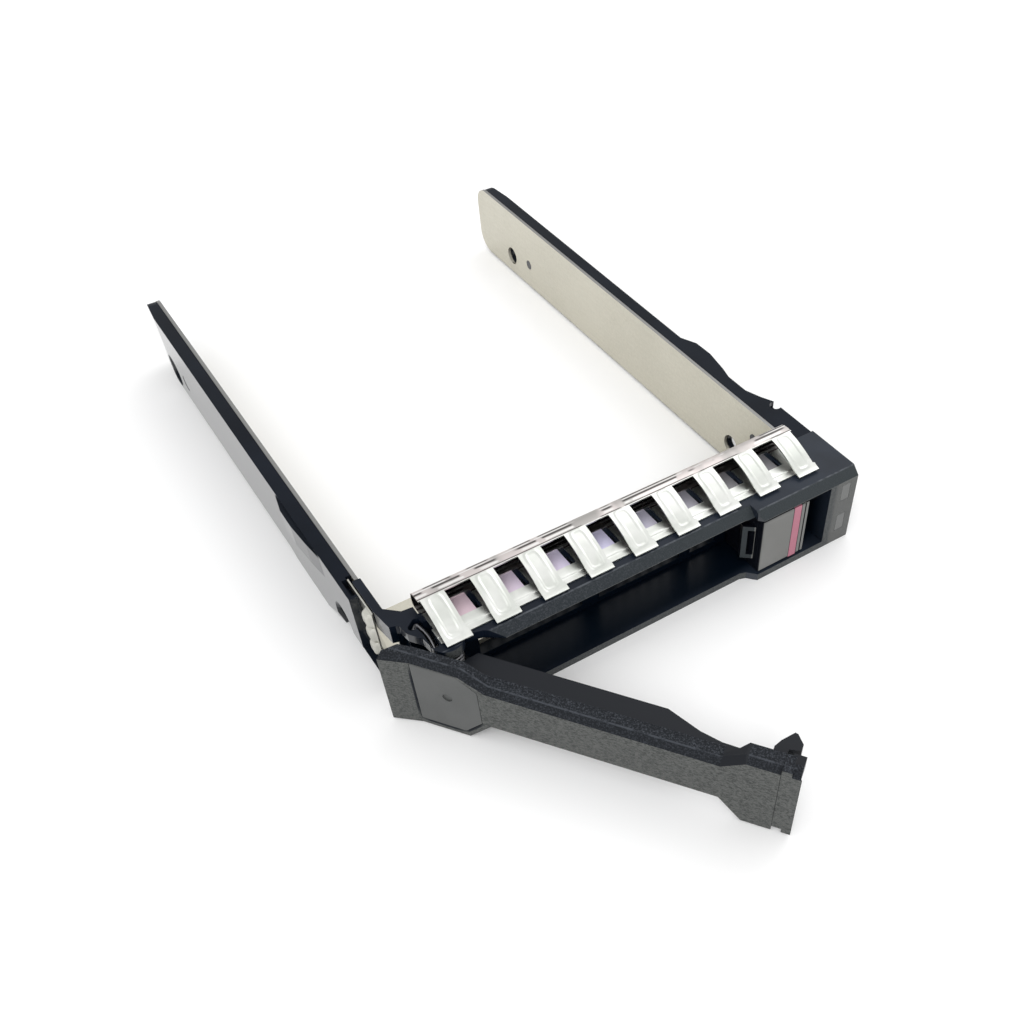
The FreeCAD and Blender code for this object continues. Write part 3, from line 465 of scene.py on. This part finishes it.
def springSteel(name, v):
    material, tree, shader = newMaterial(name, v)
    point, _, y, z = axes(tree, "Object")
    streak = noise(tree, point, *v["streak"], stretch=v["stretch"])
    cloud = ramp(tree, noise(tree, point, *v["cloud"]), *v["cloudSpots"])
    tone = mixColor(tree, cloud, v["color"], v["shade"])
    if "bend" in v:
        _, _, ny, nz = axes(tree, "Normal")
        roof, rear = bezelHigh.z, stripHigh.y
        bendEdge = rear - v["bendFrom"]
        atRear = ramp(tree, y, bendEdge, bendEdge + v["bendSoft"])
        # the rear bend gets the painted reflection tone
        tone = mixColor(tree, atRear, tone, bendReflectionTone(tree, point, y, v))
        # painted shade on the strip's downward faces above the roof
        under = allOf(tree, fall(tree, nz, *lean["down"]),
                      ramp(tree, z, roof + v["underOver"][0], roof + v["underOver"][1]))
        tone = mixColor(tree, under, tone, v["under"])
        # painted shade on the inner face of the rear bend
        hollow = allOf(tree, fall(tree, ny, *lean["inward"]),
                       ramp(tree, y, rear - v["hollowBack"][0], rear - v["hollowBack"][1]))
        tone = mixColor(tree, hollow, tone, v["hollow"])
    tree.links.new(tone, shader.inputs["Base Color"])
    streakSurface(tree, shader, v, streak)
    return material


# smooth satin plastic with a fine even texture
insertLook = {
    "color": (0.082, 0.085, 0.084), "shade": (0.093, 0.096, 0.095), "rough": 0.42,
    "specular": 0.2, "mottle": (140.0, 2.0), "mottleSpots": (0.3, 0.7),
    "grain": (5200.0, 2.0), "depth": 0.00003,
}
pipeLook = dict(insertLook, color=(0.112, 0.115, 0.113), shade=(0.124, 0.127, 0.125),
                rough=0.22, specular=0.4)
stripeLook = dict(insertLook, color=(0.395, 0.150, 0.200), shade=(0.440, 0.175, 0.225), rough=0.4)
buttonLook = dict(insertLook, color=(0.155, 0.156, 0.150), shade=(0.175, 0.176, 0.170),
                  # the side tone colours the real grooves, and is painted shade on the sides
                  # turned from the front
                  rough=0.36, side=(0.0040, 0.0050, 0.0085), groove=0.17 * mm,
                  catch=(0.030, 0.037, 0.041), catchEnd=21.3 * mm, catchSoft=0.1 * mm)


def satinPlastic(name, v):
    material, tree, shader = newMaterial(name, v)
    point, x, _, _ = axes(tree, "Object")
    mottle = ramp(tree, noise(tree, point, *v["mottle"]), *v["mottleSpots"])
    tone = mixColor(tree, mottle, v["color"], v["shade"])
    if "side" in v:
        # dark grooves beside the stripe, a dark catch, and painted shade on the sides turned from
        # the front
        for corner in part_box("button_stripe"):
            tone = mixColor(tree, line(tree, x, corner.x, v["groove"]), tone, v["side"])
        onCatch = fall(tree, x, v["catchEnd"], v["catchEnd"] + v["catchSoft"])
        tone = mixColor(tree, onCatch, tone, v["catch"])
        ny = axes(tree, "Normal")[2]
        tone = mixColor(tree, ramp(tree, ny, *lean["offFront"]), tone, v["side"])
    tree.links.new(tone, shader.inputs["Base Color"])
    bump(tree, shader, noise(tree, point, *v["grain"]), v["depth"])
    return material


padLook = dict(springLook, color=(0.545, 0.540, 0.495), shade=(0.460, 0.455, 0.410))
wireLook = dict(springLook, color=(0.24, 0.24, 0.25), shade=(0.15, 0.15, 0.16))
bezelFinish = bezelPlastic(bezelLook)
leverFinish = leverPlastic(leverLook)
railFinish = railPlastic(railLook)
linerFinish = linerSteel(linerLook)
springFinish = springSteel("springSteel", springLook)
stripFinish = springSteel("stripSteel", stripLook)
padFinish = springSteel("padSteel", padLook)
wireFinish = springSteel("wireSteel", wireLook)
insertFinish = satinPlastic("insertPlastic", insertLook)
buttonFinish = satinPlastic("buttonPlastic", buttonLook)
stripeFinish = satinPlastic("stripePlastic", stripeLook)
pipeFinish = satinPlastic("pipePlastic", pipeLook)

finishes = {
    "bezel_frame": bezelFinish, "left_rail": railFinish, "right_rail": railFinish,
    "left_rail_stake": railFinish, "right_rail_stakes": railFinish,
    "lever": leverFinish, "lever_end_cap": leverFinish, "lever_insert": insertFinish,
    "steel_frame": linerFinish, "vent_screen": linerFinish, "cross_plate_screws": springFinish,
    "lever_pivot_pin": wireFinish, "release_button": buttonFinish, "button_stripe": stripeFinish,
    "light_pipe_upper": pipeFinish, "light_pipe_lower": pipeFinish,
    "top_shield_strip": stripFinish, "left_side_shield": padFinish,
    "right_side_shield": padFinish, "lever_spring": wireFinish, "button_spring": wireFinish,
}
for name, material in finishes.items():
    nodes[name].data.materials.clear()
    nodes[name].data.materials.append(material)
print("stage: materials on the frame's nodes")


sharpAngle = math.radians(48)       # two faces that meet at more than this keep a crisp edge


def addPiece(name, vertices, faces, material, body, slot, replaced):
    mesh = bpy.data.meshes.new(name)
    mesh.from_pydata(vertices.tolist(), [], faces)
    mesh.polygons.foreach_set("use_smooth", np.ones(len(mesh.polygons), bool))
    mesh.set_sharp_from_angle(angle=sharpAngle)
    mesh.materials.append(material)
    piece = bpy.data.objects.new(name, mesh)
    bpy.context.collection.objects.link(piece)
    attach(piece, body)
    if replaced:
        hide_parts(*replaced)
    return piece


def sheetFaces(points, keep, thickness):
    # points is rows x columns x 3, the sheet's middle surface P; its two faces are P + N t / 2
    # and P - N t / 2, where N is the unit cross product of the surface's two directions,
    # and a rim closes every free edge; keep says which cells of the grid are there
    rows, columns = points.shape[:2]
    count = rows * columns
    across = np.gradient(points, axis=1)
    along = np.gradient(points, axis=0)
    normal = np.cross(across, along)
    normal /= np.maximum(np.linalg.norm(normal, axis=2, keepdims=True), 1e-12)
    upper = (points + normal * thickness / 2).reshape(-1, 3)
    lower = (points - normal * thickness / 2).reshape(-1, 3)
    index = np.arange(count).reshape(rows, columns)
    corners = [index[:-1, :-1], index[:-1, 1:], index[1:, 1:], index[1:, :-1]]
    quads = np.stack(corners, -1)[keep]
    start, end = quads.ravel(), np.roll(quads, -1, axis=1).ravel()
    free = ~np.isin(start.astype(np.int64) * count + end, end.astype(np.int64) * count + start)
    a, b = start[free], end[free]
    rim = np.stack([b, a, a + count, b + count], -1)
    faces = np.vstack([quads, quads[:, ::-1] + count, rim])
    used, faces = np.unique(faces, return_inverse=True)
    return np.vstack([upper, lower])[used], faces.reshape(-1, 4).tolist()


def smoothLine(points, samples):
    # Catmull-Rom curve through the points P0 to P3, t from 0 to 1 between P1 and P2:
    # 0.5 (2 P1 + (P2 - P0) t + (2 P0 - 5 P1 + 4 P2 - P3) t^2 + (3 P1 - P0 - 3 P2 + P3) t^3)
    route = np.asarray(points, float)
    padded = np.vstack([2 * route[:1] - route[1:2], route, 2 * route[-1:] - route[-2:-1]])
    t = np.linspace(0, 1, samples, endpoint=False)[None, :, None]
    p0, p1, p2, p3 = (padded[i:len(padded) - 3 + i][:, None, :] for i in range(4))
    curve = 0.5 * (2 * p1 + (p2 - p0) * t + (2 * p0 - 5 * p1 + 4 * p2 - p3) * t ** 2
                   + (3 * p1 - p0 - 3 * p2 + p3) * t ** 3)
    return np.vstack([curve.reshape(-1, route.shape[1]), route[-1:]])


def step(value, low, high):
    # 3 t^2 - 2 t^3, with t from 0 at low to 1 at high
    t = np.clip((value - low) / (high - low), 0, 1)
    return t * t * (3 - 2 * t)


def inRuns(x, starts, wide):
    # for each cell between two values of x: whether it lies in a run that is wide from a start
    middle = ((x[1:] + x[:-1]) / 2)[None, :]
    return ((middle > starts[:, None]) & (middle < starts[:, None] + wide)).any(0)


# top spring strip: a base with windows, a rear bend and nine arched fingers
strip = {
    "sheet": 0.25 * mm, "samples": 8, "columns": 25,
    "fingers": 9, "first": 0.3 * mm, "pitch": 7.69 * mm, "wide": 3.68 * mm,
    # the toe: how much the finger's right edge widens, over what length, from where across
    "toe": 0.30 * mm, "toeLong": 1.3 * mm, "toeFrom": 0.9,
    # the pressed bead: its height, then its ring's place and shape on the finger
    "bead": 0.09 * mm, "beadHalf": 0.27, "beadMiddle": 2.65, "beadLong": 1.75,
    "beadRing": (0.02, 0.17), "beadFrom": 0.3,
    "windowFrom": 3,                    # the windows start this many points along the base
    "root": 0.75,                       # the fingers part this far into the run after the bend
    # forward of the strip's rear and above the roof, in mm: base, bend, then finger to its tip
    "base": [(8.775, 0.175), (7.75, 0.175), (7.4, 0.31), (5.9, 0.31), (4.0, 0.31),
             (2.075, 0.31)],
    "bend": [(1.2, 0.31), (0.45, 0.50), (0.125, 1.15), (0.125, 1.9), (0.4, 2.65), (1.0, 2.97)],
    "finger": [(1.975, 3.05), (2.975, 2.96), (4.775, 2.55), (6.775, 1.8), (8.475, 1.0),
               (9.475, 0.55), (9.975, 0.42)],
}


def makeStrip(v):
    # P(x, s) = (x, rear - forward(s), roof + up(s)) + bead(x, s) N(s), where s runs along the
    # folding line and N is square to it; windows and gaps between fingers are left out
    samples, columns = v["samples"], v["columns"]
    control = np.array(v["base"] + v["bend"] + v["finger"]) * mm
    route = smoothLine(control, samples)
    baseEnd = (len(v["base"]) - 1) * samples
    fingerStart = (len(v["base"]) + len(v["bend"])) * samples
    starts = stripLow.x + v["first"] + v["pitch"] * np.arange(v["fingers"])
    inside = (starts[:, None] + v["wide"] * np.linspace(0, 1, columns)[None, :]).ravel()
    x = np.unique(np.round(np.concatenate([[stripLow.x], inside, [stripHigh.x]]), 9))
    y = stripHigh.y - route[:, 0]
    z = bezelHigh.z + route[:, 1]
    along = np.gradient(np.stack([y, z], 1), axis=0)
    along /= np.linalg.norm(along, axis=1, keepdims=True)
    normal = np.stack([along[:, 1], -along[:, 0]], 1)
    # own runs from 0 to 1 across the finger that x lies on, run counts points along the finger
    share = (x[None, :] - starts[:, None]) / v["wide"]
    own = np.where((share > -1e-6) & (share < 1 + 1e-6), share, -9.0).max(0)[None, :]
    run = np.arange(len(y))[:, None] / samples - fingerStart / samples
    # the bead is a fine ring round a long rounded oblong: |px|^4 + |pr|^6 = 1
    px, pr = (own - 0.5) / v["beadHalf"], (run - v["beadMiddle"]) / v["beadLong"]
    ring = np.abs((np.abs(px) ** 4 + np.abs(pr) ** 6 + 1e-9) ** 0.2 - 1.0)
    height = v["bead"] * (1 - step(ring, *v["beadRing"])) * (own >= 0) * (run > v["beadFrom"])
    nearTip = (y < y.min() + v["toeLong"])[:, None] & (run > 0)
    points = np.stack([x[None, :] + v["toe"] * nearTip * (own > v["toeFrom"]),
                       y[:, None] + normal[:, :1] * height,
                       z[:, None] + normal[:, 1:] * height], -1)
    row = np.arange(len(y) - 1)
    window = (row >= v["windowFrom"] * samples) & (row < baseEnd)
    parted = row >= fingerStart + v["root"] * samples
    return points, inRuns(x, starts, v["wide"])[None, :] | ~(window | parted)[:, None]


stripPoints, stripKeep = makeStrip(strip)
addPiece("shieldStrip", *sheetFaces(stripPoints, stripKeep, strip["sheet"]), stripFinish,
         "caddy_body", "spring_steel", ["top_shield_strip"])
print("stage: top spring strip")


# satin tongues that reach back into the strip's windows from the ledge in front of them
tongue = {
    "gap": 0.12 * mm, "wide": 2.95 * mm, "front": 5.95 * mm, "long": 3.85 * mm,
    "sheet": 0.12 * mm, "above": 0.24 * mm, "columns": 5, "rows": 7,
    "rough": 0.40, "metal": 0.3, "grain": (5200.0, 2.0), "depth": 0.00002, "grainBump": 0.5,
    # the tint from the lever's end to the button's, and how far in from each end it changes
    "tones": ((0.74, 0.57, 0.64), (0.73, 0.63, 0.77), (0.66, 0.63, 0.84), (0.48, 0.46, 0.55),
              (0.22, 0.215, 0.23)),
    "tintFrom": 5 * mm, "tintTo": 16 * mm,
}


def makeTongues(v, s):
    # P(x, y) = (x, y, roof + above), kept only in the left part of each window
    gaps = np.arange(s["fingers"] - 1)
    starts = stripLow.x + s["first"] + s["wide"] + s["pitch"] * gaps + v["gap"]
    x = np.sort((starts[:, None] + v["wide"] * np.linspace(0, 1, v["columns"])[None, :]).ravel())
    front = stripHigh.y - v["front"]
    y = np.linspace(front, front + v["long"], v["rows"])
    flat = np.broadcast_arrays(x[None, :], y[:, None], bezelHigh.z + v["above"])
    keep = np.repeat(inRuns(x, starts, v["wide"])[None, :], len(y) - 1, 0)
    return np.stack(flat, -1).astype(float), keep


def tongueSteel(v):
    # the tint runs from pink at the lever's end to dark grey at the button's end
    material, tree, shader = newMaterial("tongueSteel", dict(v, color=v["tones"][0]))
    point, x, _, _ = axes(tree, "Object")
    tone = v["tones"][0]
    places = np.linspace(stripLow.x + v["tintFrom"], stripHigh.x - v["tintTo"], len(v["tones"]))
    for low, high, color in zip(places[:-1], places[1:], v["tones"][1:]):
        tone = mixColor(tree, ramp(tree, x, float(low), float(high)), tone, color)
    tree.links.new(tone, shader.inputs["Base Color"])
    bump(tree, shader, noise(tree, point, *v["grain"]), v["depth"], v["grainBump"])
    return material


tonguePoints, tongueKeep = makeTongues(tongue, strip)
addPiece("stripTongues", *sheetFaces(tonguePoints, tongueKeep, tongue["sheet"]),
         tongueSteel(tongue), "caddy_body", "spring_steel", [])
print("stage: window tongues")


# side shields: an upright spring plate with pillow-shaped pads stacked up it
pads = {
    "leftPads": {"node": "left_side_shield", "side": -1, "count": 3, "tail": 3.8 * mm,
                 "padFront": 0.3 * mm, "padRear": 2.5 * mm},
    "rightPads": {"node": "right_side_shield", "side": 1, "count": 4, "tail": 0.0,
                  "padFront": 0.6 * mm, "padRear": 5.6 * mm},
}
padShape = {
    "sheet": 0.22 * mm, "gap": 0.40 * mm, "edge": 0.55 * mm, "rim": 0.35 * mm, "round": 4.0,
    "tailHigh": 3.4 * mm, "plateRows": 41, "tailRows": 9, "columns": 121,
}


def makePads(v, s):
    # P(y, z) = (plate + side swell bulge(y) pillow(z), y, z), where bulge is a flat-topped
    # hump and pillow is one arch for each pad, (1 - |u|^round)^0.5 with u from -1 to 1
    low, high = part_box(v["node"])
    plateX = (high.x - s["sheet"] / 2) if v["side"] < 0 else (low.x + s["sheet"] / 2)
    swell = (high.x - low.x) - s["sheet"]
    rear = high.y - v["tail"]
    y = np.linspace(low.y, rear, s["plateRows"])
    if v["tail"]:
        y = np.concatenate([y, np.linspace(rear, high.y, s["tailRows"])[1:]])
    z = np.linspace(low.z, high.z, s["columns"])
    first, last = low.y + v["padFront"], low.y + v["padRear"]
    bulge = step(y, first, first + s["edge"]) * (1 - step(y, last - s["edge"], last))
    pitch = (high.z - low.z - 2 * s["rim"]) / v["count"]
    local = np.mod(z - low.z - s["rim"], pitch)
    half = (pitch - s["gap"]) / 2
    pillow = np.sqrt(np.clip(1 - (np.abs(local - pitch / 2) / half) ** s["round"], 0, 1))
    pillow *= (z > low.z + s["rim"]) & (z < high.z - s["rim"])
    shift = v["side"] * swell * bulge[:, None] * pillow[None, :]
    grid = np.stack(np.broadcast_arrays(plateX + shift, y[:, None], z[None, :]), -1)
    cellY, cellZ = (y[1:] + y[:-1]) / 2, (z[1:] + z[:-1]) / 2
    keep = (cellY < rear)[:, None] | (cellZ > high.z - s["tailHigh"])[None, :]
    return grid.astype(float), keep


for name, values in pads.items():
    padPoints, padKeep = makePads(values, padShape)
    addPiece(name, *sheetFaces(padPoints, padKeep, padShape["sheet"]), padFinish,
             "caddy_body", "spring_steel", [values["node"]])
print("stage: side shields")


wireGuide = np.array([0.31, 0.17, 0.93])        # a direction that no wire runs along


def tube(route, radius, sides=12):
    # P(i, a) = C(i) + r (cos a N(i) + sin a B(i)), where N and B are square to the line's
    # tangent; both ends are closed
    tangent = np.gradient(route, axis=0)
    tangent /= np.linalg.norm(tangent, axis=1, keepdims=True)
    normal = wireGuide - (tangent @ wireGuide)[:, None] * tangent
    normal /= np.linalg.norm(normal, axis=1, keepdims=True)
    binormal = np.cross(tangent, normal)
    a = np.linspace(0, 2 * math.pi, sides, endpoint=False)[None, :, None]
    spokes = np.cos(a) * normal[:, None, :] + np.sin(a) * binormal[:, None, :]
    rings = route[:, None, :] + radius * spokes
    index = np.arange(rings.shape[0] * sides).reshape(-1, sides)
    after = np.roll(index, -1, axis=1)
    quads = np.stack([index[:-1], after[:-1], after[1:], index[1:]], -1).reshape(-1, 4).tolist()
    return rings.reshape(-1, 3), quads + [index[0, ::-1].tolist(), index[-1].tolist()]


def helix(centre, radius, turns, pitch, axis, hand, samples=40):
    # C(t) = centre + radius (cos t, hand sin t) square to the axis + pitch t / 2 pi along it
    t = np.linspace(0, 2 * math.pi * turns, int(turns * samples) + 1)
    ring = np.stack([radius * np.cos(t), hand * radius * np.sin(t), pitch * t / (2 * math.pi)], 1)
    order = {"z": [0, 1, 2], "x": [2, 1, 0]}[axis]
    sign = np.array([1, 1, 1] if axis == "z" else [1, 1, -1])
    return np.asarray(centre) + ring[:, order] * sign


# torsion spring round the lever's pin, its leg lying in the roof's slot
leverCoil = {"wire": 0.3 * mm, "mean": 1.75 * mm, "turns": 3.5, "pitch": 0.7 * mm,
             "leg": [(-31.9, 2.4), (-32.3, 5.2), (-33.2, 4.55)], "legSamples": 10}
coilLow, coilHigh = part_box("lever_spring")
coilStart = (leverPivot[0], leverPivot[1], coilLow.z + leverCoil["wire"])
coilLine = helix(coilStart, leverCoil["mean"], leverCoil["turns"], leverCoil["pitch"], "z", -1)
legZ = coilHigh.z - leverCoil["wire"]
legPoints = [coilLine[-1]] + [(x * mm, y * mm, legZ) for x, y in leverCoil["leg"]]
legLine = smoothLine(legPoints, leverCoil["legSamples"])
addPiece("leverCoil", *tube(np.vstack([coilLine, legLine[1:]]), leverCoil["wire"]), wireFinish,
         "caddy_body", "spring_steel", ["lever_spring"])

# compression spring behind the button
pushCoil = {"wire": 0.22 * mm, "turns": 7}
pushLow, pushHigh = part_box("button_spring")
pushLong = pushHigh.x - pushLow.x - 2 * pushCoil["wire"]
pushRadius = (pushHigh.y - pushLow.y) / 2 - pushCoil["wire"]
pushY, pushZ = (pushLow.y + pushHigh.y) / 2, (pushLow.z + pushHigh.z) / 2
pushLine = helix((pushLow.x + pushCoil["wire"], pushY, pushZ), pushRadius, pushCoil["turns"],
                 pushLong / pushCoil["turns"], "x", 1)
buttonCoil = addPiece("buttonCoil", *tube(pushLine, pushCoil["wire"]), wireFinish,
                      "caddy_body", "spring_steel", ["button_spring"])
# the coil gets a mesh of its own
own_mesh(buttonCoil)
print("stage: springs")


stage = {"half": 6.0, "below": 0.05 * mm, "color": (0.95, 0.95, 0.95), "rough": 0.9,
         "specular": 0.1}
floorZ = cadLow.z - stage["below"]
half = stage["half"]
corners = [(-half, -half, floorZ), (half, -half, floorZ), (half, half, floorZ),
           (-half, half, floorZ)]
floorMesh = bpy.data.meshes.new("floor")
floorMesh.from_pydata(corners, [], [(0, 1, 2, 3)])
floor = bpy.data.objects.new("floor", floorMesh)
bpy.context.collection.objects.link(floor)
floorMesh.materials.append(newMaterial("floorPaint", stage)[0])

# the world's own strength on the object, and where a ray sees it as the background
sky = {"light": 0.93, "seen": 1.0}
world = bpy.data.worlds.new("studio")
bpy.context.scene.world = world
world.use_nodes = True
worldTree = world.node_tree
background = worldTree.nodes["Background"]
background.inputs["Color"].default_value = (1, 1, 1, 1)
rays = worldTree.nodes.new("ShaderNodeLightPath")
seen = calc(worldTree, "MAXIMUM", rays.outputs["Is Camera Ray"], rays.outputs["Is Glossy Ray"])
seen = calc(worldTree, "MAXIMUM", seen, rays.outputs["Is Transmission Ray"])
worldTree.links.new(ramp(worldTree, seen, 0.0, 1.0, sky["light"], sky["seen"]),
                    background.inputs["Strength"])

lamps = [
    # name, place, aim, width, power: metres and watts
    ("keyLight", (-0.45, -0.55, 0.85), (0.0, 0.02, 0.0), 0.7, 4.2),
    ("fillLight", (0.65, 0.35, 0.75), (0.0, 0.05, 0.0), 0.8, 1.6),
]
for name, place, aim, wide, power in lamps:
    lampData = bpy.data.lights.new(name, "AREA")
    lampData.shape = "DISK"
    lampData.size = wide
    lampData.energy = power
    lamp = bpy.data.objects.new(name, lampData)
    lamp.location = place
    away = np.array(place) - np.array(aim)
    lamp.rotation_euler = (math.atan2(math.hypot(away[0], away[1]), away[2]), 0,
                           math.atan2(away[0], -away[1]))
    bpy.context.collection.objects.link(lamp)
print("stage: studio")
